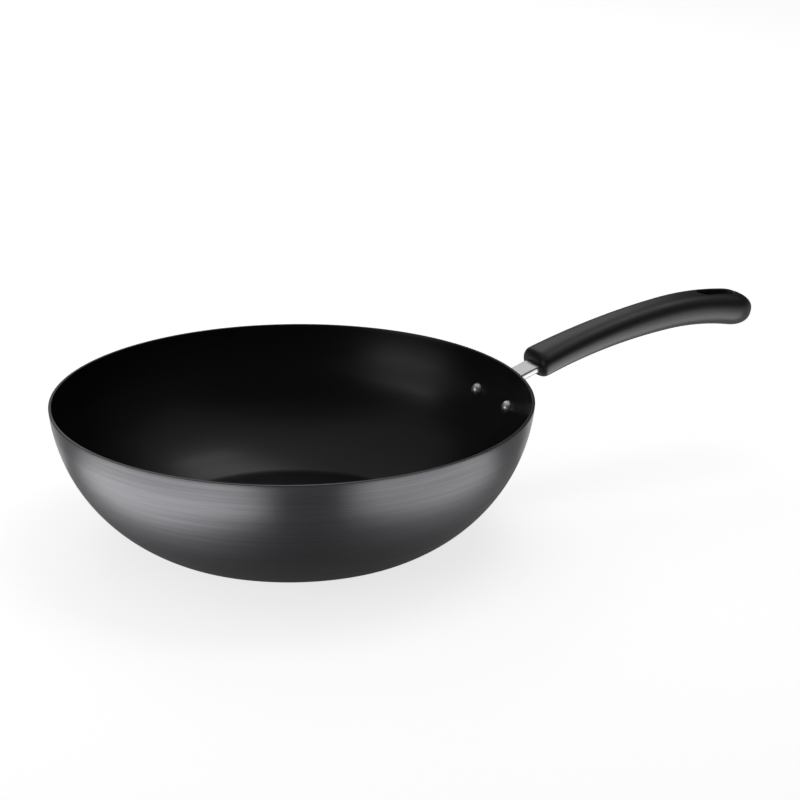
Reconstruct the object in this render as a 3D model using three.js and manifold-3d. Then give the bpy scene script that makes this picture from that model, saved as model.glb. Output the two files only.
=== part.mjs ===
// A titanium wok with one riveted handle, in millimetres, +Z up.
// The origin is the middle of the base's underside, and +X runs out along the handle.
import * as THREE from 'three';
import { mergeVertices } from 'three/addons/utils/BufferGeometryUtils.js';
import Module from 'manifold-3d';

// Bowl
const rimDiameter = 320;
const bowlDepth = 90.3; // from the base's underside up to the rim
const baseDiameter = 185; // flat part of the underside
const kneeRadius = 20; // outside radius between the base and the side
const sideRadius = 111.5; // outside radius of the side's long arc
const wallThickness = 2;

// Rivets
const rivetDrop = 25.3; // from the rim down to the rivets
const rivetSpacing = 41.8; // from one rivet to the other, across the handle
const rivetShankDiameter = 5;
const rivetHeadDiameter = 9.8; // the dome inside the bowl
const rivetHeadHeight = 3.6;
const rivetTailDiameter = 9; // the flatter head formed outside
const rivetTailHeight = 2;

// Bracket: a foot plate on the bowl and a channel that runs into the grip
const sheetThickness = 1.8;
const footMargin = 9.5; // from a rivet's axis to the foot's end
const footHeight = 27;
const footCorner = 11;
const neckWidth = 17;
const neckRise = 1; // from the grip's spine up to the neck's top face
const neckHeight = 4; // over the channel's flanges, at the grip
const flareStart = 4; // bare neck outside the grip before its flanges get deeper
const flareDepth = 14; // over the channel's flanges, at the foot
const tangLength = 46; // length of the neck inside the grip
const collarDiameter = 7.6; // drawn collar that the screw threads into
const collarHeight = 1.4;

// Grip: its spine starts along the neck and bends down in two arcs
const gripReach = 23.4; // from the rim out to the grip's front end
const gripDrop = 5.1; // from the rim's level down to the grip's front end
const gripSlope = THREE.MathUtils.degToRad(18.1);
const frontArcRadius = 457;
const frontArcLength = 107;
const tailArcRadius = 190;
const tailArcLength = 72;
const gripFrontHeight = 17.4;
const gripMiddleHeight = 20.2;
const gripTailHeight = 25;
const gripFrontWidth = 32;
const gripMiddleWidth = 26.6;
const gripTailWidth = 32;
const gripSquareness = 2.6; // 2 is an ellipse, and more is nearer to a rectangle
const frontRound = 5;
const frontLean = THREE.MathUtils.degToRad(14); // turns the front end nearly upright
const leanReach = 60; // how far along the grip the lean fades out
const tailRound = 20;
const hangFromTail = 30; // from the tail's tip to the middle of the hang slot
const hangLength = 29;
const hangWidth = 12;

// Screw and split washer under the grip
const screwFromFront = 26;
const screwDiameter = 4;
const screwHeadDiameter = 7.4;
const screwHeadHeight = 2.2;
const crossLength = 4.2;
const crossWidth = 1;
const crossDepth = 1.1;
const gripFloor = 2.6; // phenolic left between the tang and the washer
const washerDiameter = 7.8;
const washerThickness = 0.8;
const washerSplit = 0.7;

// Clearances
const fitGap = 0.3; // between pieces that seat on or in each other

// Faceting
const bowlSegments = 72;
const sideSteps = 13;
const kneeSteps = 3;
const roundSegments = 20;
const domeSteps = 4;
const sectionPoints = 28;
const spineSteps = 14;
const frontSteps = 3;
const tailSteps = 5;
const cornerSteps = 6;

const wasm = await Module();
wasm.setup();

// Turns a closed geometry into a solid that can be joined and cut.
function solid(geometry) {
  const bare = geometry.clone().deleteAttribute('normal').deleteAttribute('uv');
  const merged = mergeVertices(bare);
  const corners = merged.index.array;
  const triangles = [];
  for (let i = 0; i < corners.length; i += 3) {
    const [a, b, c] = corners.slice(i, i + 3);
    if (a !== b && b !== c && c !== a) {
      triangles.push(a, b, c);
    }
  }
  const mesh = new wasm.Mesh({
    numProp: 3,
    vertProperties: merged.attributes.position.array,
    triVerts: Uint32Array.from(triangles),
  });
  return new wasm.Manifold(mesh);
}

function geometryOf(body) {
  const mesh = body.getMesh();
  const geometry = new THREE.BufferGeometry();
  geometry.setAttribute('position', new THREE.BufferAttribute(mesh.vertProperties, 3));
  geometry.setIndex(new THREE.BufferAttribute(mesh.triVerts, 1));
  geometry.computeVertexNormals();
  return geometry;
}

function part(name, geometry, color, roughness, metalness) {
  const material = new THREE.MeshStandardMaterial({ color, roughness, metalness });
  const mesh = new THREE.Mesh(geometry, material);
  mesh.name = name;
  return mesh;
}

// Spins a profile of (radius, height) points about the Z axis.
function turned(profile, segments) {
  return new THREE.LatheGeometry(profile, segments).rotateX(Math.PI / 2);
}

function cylinder(diameter, low, high) {
  const radius = diameter / 2;
  const profile = [
    new THREE.Vector2(0, low),
    new THREE.Vector2(radius, low),
    new THREE.Vector2(radius, high),
    new THREE.Vector2(0, high),
  ];
  return turned(profile, roundSegments);
}

function box(lowX, highX, width, lowZ, highZ) {
  const shape = new THREE.BoxGeometry(highX - lowX, width, highZ - lowZ);
  return shape.translate((lowX + highX) / 2, 0, (lowZ + highZ) / 2);
}

// A low dome's points from its edge up to its top on the axis.
function domePoints(diameter, height, seat) {
  const edge = diameter / 2;
  const sphere = (edge ** 2 + height ** 2) / (2 * height);
  const centre = seat + height - sphere;
  const start = Math.atan2(seat - centre, edge);
  const points = new THREE.ArcCurve(0, centre, sphere, start, Math.PI / 2).getPoints(domeSteps);
  points[domeSteps].x = 0;
  return points;
}

// The side of the bowl: its long arc passes through the rim and rolls into the knee's arc.
const rim = new THREE.Vector2(rimDiameter / 2, bowlDepth);
const kneeCentre = new THREE.Vector2(baseDiameter / 2, kneeRadius);
const sideCentre = centreOfSide();
const kneeEnd = kneeCentre.clone().sub(sideCentre).angle() - 2 * Math.PI;
const sideEnd = rim.clone().sub(sideCentre).angle() - 2 * Math.PI;

function centreOfSide() {
  const toRim = rim.clone().sub(kneeCentre);
  const span = toRim.length();
  const inner = sideRadius - kneeRadius;
  const along = (inner ** 2 - sideRadius ** 2 + span ** 2) / (2 * span);
  const across = Math.sqrt(inner ** 2 - along ** 2);
  const direction = toRim.divideScalar(span);
  const upward = new THREE.Vector2(-direction.y, direction.x);
  return kneeCentre.clone().addScaledVector(direction, along).addScaledVector(upward, across);
}

// The side's points from the base up to the rim, moved outwards by an offset.
function sidePoints(offset) {
  const knee = new THREE.ArcCurve(kneeCentre.x, kneeCentre.y, kneeRadius + offset, -Math.PI / 2, kneeEnd);
  const side = new THREE.ArcCurve(sideCentre.x, sideCentre.y, sideRadius + offset, kneeEnd, sideEnd);
  return [...knee.getPoints(kneeSteps), ...side.getPoints(sideSteps).slice(1)];
}

// The wall's angle, place and lean where the rivets go through it.
const rivetHeight = bowlDepth - rivetDrop;
const rivetLean = Math.asin((sideCentre.y - rivetHeight) / sideRadius);
const rivetRadius = sideCentre.x + sideRadius * Math.cos(rivetLean);
const rivetTurn = Math.asin(rivetSpacing / 2 / rivetRadius);

// A rivet's own frame: its origin is on the outside of the wall, and its +Z points into the bowl.
function rivetFrame(side) {
  const frame = new THREE.Group();
  frame.rotation.order = 'ZYX';
  frame.rotation.z = side * rivetTurn;
  frame.rotation.y = -Math.PI / 2 + rivetLean;
  const reach = new THREE.Vector3(rivetRadius, 0, rivetHeight);
  frame.position.copy(reach.applyAxisAngle(new THREE.Vector3(0, 0, 1), side * rivetTurn));
  frame.updateMatrixWorld();
  return frame;
}

const rivetFrames = { rivet_left: rivetFrame(1), rivet_right: rivetFrame(-1) };
const footFace = fitGap + sheetThickness; // from the wall's outside to the foot's outside

function cutRivetHoles(body) {
  const hole = cylinder(rivetShankDiameter + 2 * fitGap, -2 * footFace, 2 * wallThickness);
  let cut = body;
  for (const frame of Object.values(rivetFrames)) {
    cut = cut.subtract(solid(hole.clone().applyMatrix4(frame.matrixWorld)));
  }
  return cut;
}

function makeBowl() {
  const outside = sidePoints(0);
  const inside = sidePoints(-wallThickness).reverse();
  const bottom = new THREE.Vector2(0, 0);
  const top = new THREE.Vector2(0, wallThickness);
  const shell = turned([bottom, ...outside, ...inside, top], bowlSegments);
  return geometryOf(cutRivetHoles(solid(shell)));
}

function makeRivet() {
  const headEdge = rivetHeadDiameter / 2;
  const hollow = headEdge ** 2 / (2 * (sideRadius - wallThickness)); // the wall's rise under the head's edge
  const headSeat = wallThickness + hollow + fitGap;
  const tailSeat = -footFace - fitGap;
  const shank = rivetShankDiameter / 2;
  const tail = domePoints(rivetTailDiameter, rivetTailHeight, -tailSeat);
  const profile = [
    ...tail.reverse().map((point) => new THREE.Vector2(point.x, -point.y)),
    new THREE.Vector2(shank, tailSeat),
    new THREE.Vector2(shank, headSeat),
    ...domePoints(rivetHeadDiameter, rivetHeadHeight, headSeat),
  ];
  return turned(profile, roundSegments);
}

// The handle's frame: its origin is the middle of the grip's front end, and its +X is the neck's direction.
const handle = new THREE.Group();
handle.position.set(rimDiameter / 2 + gripReach, 0, bowlDepth - gripDrop);
handle.rotation.y = -gripSlope;
handle.updateMatrixWorld();
const neckLow = neckRise - neckHeight;

// The foot: a shell that follows the wall, trimmed to a plate with round corners.
function makeFoot() {
  const outside = sidePoints(footFace);
  const inside = sidePoints(fitGap).reverse();
  const shell = turned([...outside, ...inside, outside[0]], bowlSegments);
  const halfWidth = rivetSpacing / 2 + footMargin;
  const halfHeight = footHeight / 2;
  const outline = new THREE.Shape();
  outline.absarc(halfWidth - footCorner, halfHeight - footCorner, footCorner, 0, Math.PI / 2);
  outline.absarc(footCorner - halfWidth, halfHeight - footCorner, footCorner, Math.PI / 2, Math.PI);
  outline.absarc(footCorner - halfWidth, footCorner - halfHeight, footCorner, Math.PI, 1.5 * Math.PI);
  outline.absarc(halfWidth - footCorner, footCorner - halfHeight, footCorner, 1.5 * Math.PI, 2 * Math.PI);
  const options = { depth: rimDiameter, bevelEnabled: false, curveSegments: cornerSteps };
  const prism = new THREE.ExtrudeGeometry(outline, options);
  prism.rotateX(Math.PI / 2).rotateZ(Math.PI / 2).translate(0, 0, rivetHeight);
  return solid(shell).intersect(solid(prism));
}

// The neck: a channel, open below, whose flanges get deeper towards the foot. It is drawn on into the bowl
// and is trimmed to the wall when the bracket is joined.
function makeNeck() {
  const root = handle.position.x / 2;
  const footPlace = gripReach / Math.cos(gripSlope);
  const outline = new THREE.Shape();
  outline.moveTo(-root, neckRise);
  outline.lineTo(-root, neckRise - flareDepth);
  outline.lineTo(-footPlace, neckRise - flareDepth);
  outline.quadraticCurveTo(-footPlace, neckLow, -flareStart, neckLow);
  outline.lineTo(tangLength, neckLow);
  outline.lineTo(tangLength, neckRise);
  const options = { depth: neckWidth, bevelEnabled: false, curveSegments: cornerSteps };
  const bar = new THREE.ExtrudeGeometry(outline, options);
  bar.translate(0, 0, -neckWidth / 2).rotateX(Math.PI / 2);
  const hollowWidth = neckWidth - 2 * sheetThickness;
  const webLow = neckRise - sheetThickness;
  const hollow = box(-2 * root, 2 * tangLength, hollowWidth, -2 * flareDepth, webLow);
  const collar = cylinder(collarDiameter, webLow - collarHeight, webLow + sheetThickness / 2);
  const thread = cylinder(screwDiameter + 2 * fitGap, 2 * neckLow, 2 * neckHeight);
  const channel = solid(bar).subtract(solid(hollow));
  const drawn = channel.add(solid(collar.translate(screwFromFront, 0, 0)));
  return drawn.subtract(solid(thread.translate(screwFromFront, 0, 0)));
}

function makeBracket() {
  const neck = solid(geometryOf(makeNeck()).applyMatrix4(handle.matrixWorld));
  const wall = sidePoints(fitGap);
  const below = new THREE.Vector2(0, wall[0].y);
  const above = new THREE.Vector2(0, bowlDepth);
  const bowlSpace = turned([below, ...wall, above], bowlSegments);
  const joined = makeFoot().add(neck).subtract(solid(bowlSpace));
  return geometryOf(cutRivetHoles(joined));
}

// The grip's spine in the handle's frame, as (along, up).
const spine = new THREE.CurvePath();
const spineLength = frontArcLength + tailArcLength;
const bendAngle = Math.PI / 2 - frontArcLength / frontArcRadius;
const tailAngle = bendAngle - tailArcLength / tailArcRadius;
const tailCentreX = (frontArcRadius - tailArcRadius) * Math.cos(bendAngle);
const tailCentreZ = (frontArcRadius - tailArcRadius) * Math.sin(bendAngle) - frontArcRadius;
spine.add(new THREE.ArcCurve(0, -frontArcRadius, frontArcRadius, Math.PI / 2, bendAngle, true));
spine.add(new THREE.ArcCurve(tailCentreX, tailCentreZ, tailArcRadius, bendAngle, tailAngle, true));

// A smooth size along the grip, through its values at the front, the middle and the tail.
function along(front, middle, tail, share) {
  const first = front * (1 - share) * (1 - 2 * share);
  const second = middle * 4 * share * (1 - share);
  const third = tail * share * (2 * share - 1);
  return first + second + third;
}

// A frame on the spine at a distance from the front end: +X along the spine, +Z its upward normal.
function spineFrame(distance) {
  const share = distance / spineLength;
  const place = spine.getPoint(share);
  const direction = spine.getTangent(share);
  const turn = new THREE.Matrix4().makeRotationY(-direction.angle());
  return turn.setPosition(place.x, 0, place.y);
}

// One ring of the grip: a rounded section, drawn in by an inset and a scale where an end is rounded.
function gripRing(distance, inset, scale) {
  const share = distance / spineLength;
  const halfWidth = (along(gripFrontWidth, gripMiddleWidth, gripTailWidth, share) / 2 - inset) * scale;
  const halfHeight = (along(gripFrontHeight, gripMiddleHeight, gripTailHeight, share) / 2 - inset) * scale;
  const frame = spineFrame(distance);
  const lean = Math.tan(frontLean) * Math.max(0, 1 - distance / leanReach);
  const bulge = (value) => Math.sign(value) * Math.abs(value) ** (2 / gripSquareness);
  const ring = [];
  for (let i = 0; i < sectionPoints; i += 1) {
    const angle = (2 * Math.PI * i) / sectionPoints;
    const up = halfHeight * bulge(Math.sin(angle));
    const point = new THREE.Vector3(up * lean, halfWidth * bulge(Math.cos(angle)), up);
    ring.push(point.applyMatrix4(frame));
  }
  return ring;
}

// Skins a row of rings, and closes each end with a fan to its middle point.
function loft(rings, first, last) {
  const points = [first, ...rings.flat(), last];
  const faces = [];
  const count = rings[0].length;
  for (let i = 0; i < count; i += 1) {
    const next = (i + 1) % count;
    faces.push(0, 1 + next, 1 + i);
    for (let row = 0; row < rings.length - 1; row += 1) {
      const near = 1 + row * count;
      const far = near + count;
      faces.push(near + i, near + next, far + next, near + i, far + next, far + i);
    }
    const end = 1 + (rings.length - 1) * count;
    faces.push(end + i, end + next, points.length - 1);
  }
  const geometry = new THREE.BufferGeometry().setFromPoints(points);
  geometry.setIndex(faces);
  return geometry;
}

function gripBlank() {
  const rings = [];
  for (let i = 0; i < frontSteps; i += 1) {
    const angle = (Math.PI / 2) * (i / frontSteps);
    rings.push(gripRing(frontRound * (1 - Math.cos(angle)), frontRound * (1 - Math.sin(angle)), 1));
  }
  const straight = spineLength - frontRound - tailRound;
  for (let i = 0; i <= spineSteps; i += 1) {
    rings.push(gripRing(frontRound + (straight * i) / spineSteps, 0, 1));
  }
  for (let i = 1; i < tailSteps; i += 1) {
    const angle = (Math.PI / 2) * (i / tailSteps);
    rings.push(gripRing(spineLength - tailRound * (1 - Math.sin(angle)), 0, Math.cos(angle)));
  }
  const front = new THREE.Vector3();
  const tip = new THREE.Vector3().applyMatrix4(spineFrame(spineLength));
  return loft(rings, front, tip);
}

// Heights in the handle's frame: the tang's socket, then the washer and the screw's head below it.
const socketFloor = neckLow - fitGap;
const washerSeat = socketFloor - gripFloor;
const washerTop = washerSeat - fitGap;
const washerLow = washerTop - washerThickness;
const headTop = washerLow - fitGap;

function makeGrip() {
  const socketEnd = tangLength + fitGap;
  const socket = box(-frontRound, socketEnd, neckWidth + 2 * fitGap, socketFloor, neckRise + fitGap);
  const boreDiameter = screwDiameter + 2 * fitGap;
  const bore = cylinder(boreDiameter, -gripFrontHeight, 0).translate(screwFromFront, 0, 0);
  const recessDiameter = washerDiameter + 2 * fitGap;
  const recess = cylinder(recessDiameter, -gripFrontHeight, washerSeat).translate(screwFromFront, 0, 0);
  const slot = new THREE.Shape();
  const slotRun = (hangLength - hangWidth) / 2;
  slot.absarc(slotRun, 0, hangWidth / 2, -Math.PI / 2, Math.PI / 2);
  slot.absarc(-slotRun, 0, hangWidth / 2, Math.PI / 2, 1.5 * Math.PI);
  const options = { depth: 2 * gripTailHeight, bevelEnabled: false, curveSegments: cornerSteps };
  const hang = new THREE.ExtrudeGeometry(slot, options).translate(0, 0, -gripTailHeight);
  hang.applyMatrix4(spineFrame(spineLength - hangFromTail));
  let grip = solid(gripBlank());
  for (const cut of [socket, bore, recess, hang]) {
    grip = grip.subtract(solid(cut));
  }
  return geometryOf(grip);
}

function makeScrew() {
  const shank = screwDiameter / 2;
  const tipTop = neckRise - fitGap;
  const head = domePoints(screwHeadDiameter, screwHeadHeight / 2, -headTop + screwHeadHeight / 2);
  const profile = [
    ...head.reverse().map((point) => new THREE.Vector2(point.x, -point.y)),
    new THREE.Vector2(screwHeadDiameter / 2, headTop),
    new THREE.Vector2(shank, headTop),
    new THREE.Vector2(shank, tipTop - shank / 2),
    new THREE.Vector2(shank / 2, tipTop),
    new THREE.Vector2(0, tipTop),
  ];
  const headLow = headTop - screwHeadHeight;
  const bar = box(-crossLength / 2, crossLength / 2, crossWidth, headLow - crossDepth, headLow + crossDepth);
  const crossBar = bar.clone().rotateZ(Math.PI / 2);
  return geometryOf(solid(turned(profile, roundSegments)).subtract(solid(bar)).subtract(solid(crossBar)));
}

function makeWasher() {
  const inner = screwDiameter / 2 + fitGap;
  const outer = washerDiameter / 2;
  const profile = [
    new THREE.Vector2(inner, washerLow),
    new THREE.Vector2(outer, washerLow),
    new THREE.Vector2(outer, washerTop),
    new THREE.Vector2(inner, washerTop),
    new THREE.Vector2(inner, washerLow),
  ];
  const split = box(0, washerDiameter, washerSplit, washerLow - fitGap, washerTop + fitGap);
  return geometryOf(solid(turned(profile, roundSegments)).subtract(solid(split)));
}

const wok = new THREE.Group();
wok.add(part('wok_body', makeBowl(), 0x5c5c60, 0.42, 0.9));
wok.add(part('handle_bracket', makeBracket(), 0xb9b9bb, 0.3, 1));
for (const [name, frame] of Object.entries(rivetFrames)) {
  frame.add(part(name, makeRivet(), 0xd2d2d2, 0.22, 1));
  wok.add(frame);
}

const grip = part('handle_grip', makeGrip(), 0x1b1b1c, 0.4, 0);
const screw = part('handle_screw', makeScrew(), 0xb0b0b2, 0.3, 1);
const washer = part('lock_washer', makeWasher(), 0x8f8f92, 0.4, 1);
screw.position.x = screwFromFront;
washer.position.x = screwFromFront;
handle.add(grip, screw, washer);
wok.add(handle);

export default wok;
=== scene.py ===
# %% [markdown]
# # A titanium wok with one riveted handle
# This lesson dresses a finished CAD model of a deep wok. The CAD solids are exact but plain, so each one
# gets a finer mesh in the same place and a finish made of shader nodes. Nothing is moved or resized.

# %% Load the frame
import math

import bmesh
import bpy
from mathutils import Matrix, Vector
from mathutils.bvhtree import BVHTree


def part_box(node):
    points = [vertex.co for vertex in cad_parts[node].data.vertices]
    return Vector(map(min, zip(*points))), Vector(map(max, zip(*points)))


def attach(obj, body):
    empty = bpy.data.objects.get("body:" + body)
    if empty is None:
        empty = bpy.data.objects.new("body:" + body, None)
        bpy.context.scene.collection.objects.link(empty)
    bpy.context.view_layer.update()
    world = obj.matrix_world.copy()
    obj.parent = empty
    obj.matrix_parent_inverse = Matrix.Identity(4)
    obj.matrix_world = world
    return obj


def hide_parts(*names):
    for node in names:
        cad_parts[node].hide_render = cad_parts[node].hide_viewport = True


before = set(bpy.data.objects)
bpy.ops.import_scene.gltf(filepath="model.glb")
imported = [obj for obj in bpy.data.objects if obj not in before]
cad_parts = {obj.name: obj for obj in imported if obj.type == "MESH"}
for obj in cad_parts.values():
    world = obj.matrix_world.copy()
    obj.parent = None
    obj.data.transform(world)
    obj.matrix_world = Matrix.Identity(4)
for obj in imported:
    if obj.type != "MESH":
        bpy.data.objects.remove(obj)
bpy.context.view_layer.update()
scene = bpy.context.scene
scene.view_settings.view_transform = "Standard"
print("CAD nodes:", sorted(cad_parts))

# %% [markdown]
# ## Sizes
# The frame is in metres and the drawing of the wok is in millimetres, so sizes are written as millimetres
# times MM. The rim's radius comes from the CAD bowl. The other sizes are those of the drawing.

# %% Driving sizes
MM = 0.001
RIM_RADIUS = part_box("wok_body")[1].x
BOWL_DEPTH = 90.3 * MM
BASE_RADIUS = 92.5 * MM
KNEE_RADIUS = 20 * MM
SIDE_RADIUS = 111.5 * MM
WALL = 2 * MM
SEAT_GAP = 0.3 * MM
SHEET = 1.8 * MM
RIVET_DROP = 25.3 * MM
RIVET_SPACING = 41.8 * MM
GRIP_REACH = 23.4 * MM
GRIP_DROP = 5.1 * MM
GRIP_SLOPE = math.radians(18.1)
print("rim radius", round(RIM_RADIUS, 4), "depth", BOWL_DEPTH)

# %% [markdown]
# ## The camera
# The photograph was taken with a long lens from above the rim. The camera's place was worked out from the
# ellipse of the rim: it stands 28 degrees round from square to the handle, away from the handle's end, and
# looks down by about 19 degrees.

# %% Camera
PHOTO_AZIMUTH = math.radians(-28)
PHOTO_ELEVATION = math.radians(19.445)
CAMERA_PLACE = Vector((-845.5, -1741.4, 772.6)) * MM
PHOTO_LENS = 140.15

camera_data = bpy.data.cameras.new("photo_camera")
camera_data.lens = PHOTO_LENS
camera = bpy.data.objects.new("photo_camera", camera_data)
camera.location = CAMERA_PLACE
camera.rotation_euler = (math.pi / 2 - PHOTO_ELEVATION, 0, PHOTO_AZIMUTH)
scene.collection.objects.link(camera)
scene.camera = camera
print("camera", [round(c, 3) for c in camera.location])

# %% [markdown]
# ## Helpers for meshes
# A profile is drawn as one vertex that is pulled into lines and swept into arcs, all in the XZ plane.
# Spinning a profile makes a turned piece. A piece then becomes an object that rides on the CAD body and
# stands for its node.

# %% Profile and piece helpers
SEAM_SLACK = 0.001 * MM


def only_verts(geometry):
    return [item for item in geometry if isinstance(item, bmesh.types.BMVert)]


def line_to(shape, start, x, z):
    """Pull one vertex out into a straight line that ends at x, z."""
    pulled = bmesh.ops.extrude_vert_indiv(shape, verts=[start])
    end = pulled["verts"][0]
    end.co = Vector((x, 0, z))
    return end


def arc_about(shape, start, centre, angle, steps):
    """Sweep one vertex about a centre, anticlockwise as seen with X to the right and Z up."""
    swept = bmesh.ops.spin(
        shape, geom=[start], cent=centre, axis=(0, -1, 0), angle=angle, steps=steps
    )
    return only_verts(swept["geom_last"])[0]


def turn_profile(shape, steps):
    """Spin the whole profile about the Z axis and close the seam and the poles."""
    profile = list(shape.verts) + list(shape.edges)
    bmesh.ops.spin(
        shape, geom=profile, cent=(0, 0, 0), axis=(0, 0, 1),
        angle=2 * math.pi, steps=steps, use_merge=True,
    )
    bmesh.ops.remove_doubles(shape, verts=shape.verts, dist=SEAM_SLACK)
    bmesh.ops.recalc_face_normals(shape, faces=shape.faces)


def ring_edges(shape, ring):
    """The edges of a closed ring of vertices."""
    return [shape.edges.get((ring[i - 1], ring[i])) for i in range(len(ring))]


def pull_ring(shape, ring, places):
    """Extrude a closed ring of vertices and set the new ring at these places, in the same order."""
    pulled = bmesh.ops.extrude_edge_only(shape, edges=ring_edges(shape, ring))["geom"]
    fresh = set(only_verts(pulled))
    following = []
    for vert in ring:
        partner = next(e.other_vert(vert) for e in vert.link_edges if e.other_vert(vert) in fresh)
        following.append(partner)
    for vert, place in zip(following, places):
        vert.co = place
    return following


def make_piece(name, shape, node, finishes, crease=40):
    """Turn a finished bmesh into an object that rides on the root body and stands for one CAD node.

    Edges that turn by more than the crease, in degrees, are shaded sharp.
    """
    mesh = bpy.data.meshes.new(name)
    shape.to_mesh(mesh)
    shape.free()
    mesh.shade_smooth()
    mesh.set_sharp_from_angle(angle=math.radians(crease))
    for finish in finishes:
        mesh.materials.append(finish)
    piece = bpy.data.objects.new(name, mesh)
    scene.collection.objects.link(piece)
    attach(piece, "root")
    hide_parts(node)
    print(name, len(mesh.polygons), "faces")
    return piece


print("mesh helpers ready")

# %% [markdown]
# ## Shared effects as node groups
# Brush lines are left by an abrasive belt that runs along the metal, so they are a noise that is stretched
# along the belt's way. The group takes coordinates in which Z runs across the lines. Fine grain is the tiny
# unevenness of a sprayed coat or a moulded skin. Handling marks are soft patches where hands and cloths
# changed the gloss.


# %% Node helpers
def start_group(name, inputs, outputs):
    """Make an empty shader group with a vector input, float inputs with defaults, and float outputs."""
    group = bpy.data.node_groups.new(name, "ShaderNodeTree")
    group.interface.new_socket("Vector", in_out="INPUT", socket_type="NodeSocketVector")
    for socket, value in inputs.items():
        made = group.interface.new_socket(socket, in_out="INPUT", socket_type="NodeSocketFloat")
        made.default_value = value
    for socket in outputs:
        group.interface.new_socket(socket, in_out="OUTPUT", socket_type="NodeSocketFloat")
    return group, group.nodes.new("NodeGroupInput"), group.nodes.new("NodeGroupOutput")


def add_node(tree, kind, **settings):
    """Add one node. Its properties are set by name, its sockets by name or number from a dict."""
    sockets = settings.pop("sockets", {})
    node = tree.nodes.new(kind)
    for key, value in settings.items():
        setattr(node, key, value)
    for key, value in sockets.items():
        if isinstance(value, bpy.types.NodeSocket):
            tree.links.new(value, node.inputs[key])
        else:
            node.inputs[key].default_value = value
    return node


def add_math(tree, operation, first, second):
    node = add_node(tree, "ShaderNodeMath", operation=operation, sockets={0: first, 1: second})
    return node.outputs[0]


def spread_range(tree, value, low, high):
    """Map a value from 0 to 1 onto low to high."""
    node = add_node(tree, "ShaderNodeMapRange", sockets={"Value": value, "To Min": low, "To Max": high})
    return node.outputs[0]


print("node helpers ready")

# %% Brush lines
BAND_STRETCH = Vector((0.4, 0.4, 0.08))


def brush_group():
    """Fine lines and broad bands, each a noise that is long along X and Y and short along Z."""
    group, given, made = start_group("brush_lines", {"Lines": 900.0, "Length": 8.0}, ("Lines", "Bands"))
    squeeze = add_node(
        group, "ShaderNodeCombineXYZ",
        sockets={"X": given.outputs["Length"], "Y": given.outputs["Length"], "Z": given.outputs["Lines"]},
    )
    laid = add_node(
        group, "ShaderNodeVectorMath", operation="MULTIPLY",
        sockets={0: given.outputs["Vector"], 1: squeeze.outputs[0]},
    )
    wide = add_node(
        group, "ShaderNodeVectorMath", operation="MULTIPLY", sockets={0: laid.outputs[0], 1: BAND_STRETCH}
    )
    for socket, place, detail, rough in (("Lines", laid, 4.0, 0.7), ("Bands", wide, 2.0, 0.5)):
        noise = add_node(
            group, "ShaderNodeTexNoise",
            sockets={"Vector": place.outputs[0], "Scale": 1.0, "Detail": detail, "Roughness": rough},
        )
        clear = add_node(
            group, "ShaderNodeMapRange",
            sockets={"Value": noise.outputs[0], "From Min": 0.3, "From Max": 0.7},
        )
        group.links.new(clear.outputs[0], made.inputs[socket])
    return group


BRUSH_LINES = brush_group()
print(BRUSH_LINES.name, "sockets", [s.name for s in BRUSH_LINES.interface.items_tree])


# %% Fine grain and handling marks
def grain_group():
    """Fine speckle from a small noise, and broad soft marks from a large one."""
    group, given, made = start_group("grain_and_marks", {"Grain": 2500.0, "Marks": 18.0}, ("Grain", "Marks"))
    place = given.outputs["Vector"]
    grain = add_node(
        group, "ShaderNodeTexNoise",
        sockets={"Vector": place, "Scale": given.outputs["Grain"], "Detail": 3.0, "Roughness": 0.6},
    )
    marks = add_node(
        group, "ShaderNodeTexNoise",
        sockets={"Vector": place, "Scale": given.outputs["Marks"], "Detail": 4.0, "Distortion": 0.6},
    )
    group.links.new(grain.outputs[0], made.inputs["Grain"])
    group.links.new(marks.outputs[0], made.inputs["Marks"])
    return group


GRAIN_AND_MARKS = grain_group()
print(GRAIN_AND_MARKS.name, "sockets", [s.name for s in GRAIN_AND_MARKS.interface.items_tree])


# %% [markdown]
# ## Finishes
# Each finish starts from a Principled shader. Values that are the same all over sit on the shader's own
# sockets. What changes over the surface comes from the groups above.


# %% Finish helpers
def start_finish(name, **constants):
    """A material with one Principled shader, whose constant sockets are set by name."""
    finish = bpy.data.materials.new(name)
    finish.use_nodes = True
    tree = finish.node_tree
    shader = tree.nodes["Principled BSDF"]
    for key, value in constants.items():
        shader.inputs[key.replace("_", " ")].default_value = value
    return finish, tree, shader


def object_place(tree):
    """The place on the object, in metres, on which the patterns are laid."""
    return add_node(tree, "ShaderNodeTexCoord").outputs["Object"]


def add_group(tree, group, **sockets):
    return add_node(tree, "ShaderNodeGroup", node_tree=group, sockets=sockets)


def tint(tree, factor, dark, light):
    """A colour between two tones. A Mix node takes colours at sockets 6 and 7 and gives one at output 2."""
    mix = add_node(
        tree, "ShaderNodeMix", data_type="RGBA", sockets={"Factor": factor, 6: (*dark, 1), 7: (*light, 1)}
    )
    return mix.outputs[2]


def add_bump(tree, height, strength, depth):
    bump = add_node(
        tree, "ShaderNodeBump", sockets={"Strength": strength, "Distance": depth, "Height": height}
    )
    return bump.outputs[0]


def round_the_axis(tree, place):
    """Coordinates for a turned piece: Z runs along its profile, from the middle of the base up to the rim."""
    apart = add_node(tree, "ShaderNodeSeparateXYZ", sockets={0: place})
    x, y, z = apart.outputs
    flat = add_node(tree, "ShaderNodeCombineXYZ", sockets={"X": x, "Y": y})
    radius = add_node(tree, "ShaderNodeVectorMath", operation="LENGTH", sockets={0: flat.outputs[0]})
    run = add_math(tree, "ADD", radius.outputs["Value"], z)
    laid = add_node(tree, "ShaderNodeCombineXYZ", sockets={"X": x, "Y": y, "Z": run})
    return laid.outputs[0]


print("finish helpers ready")

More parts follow.
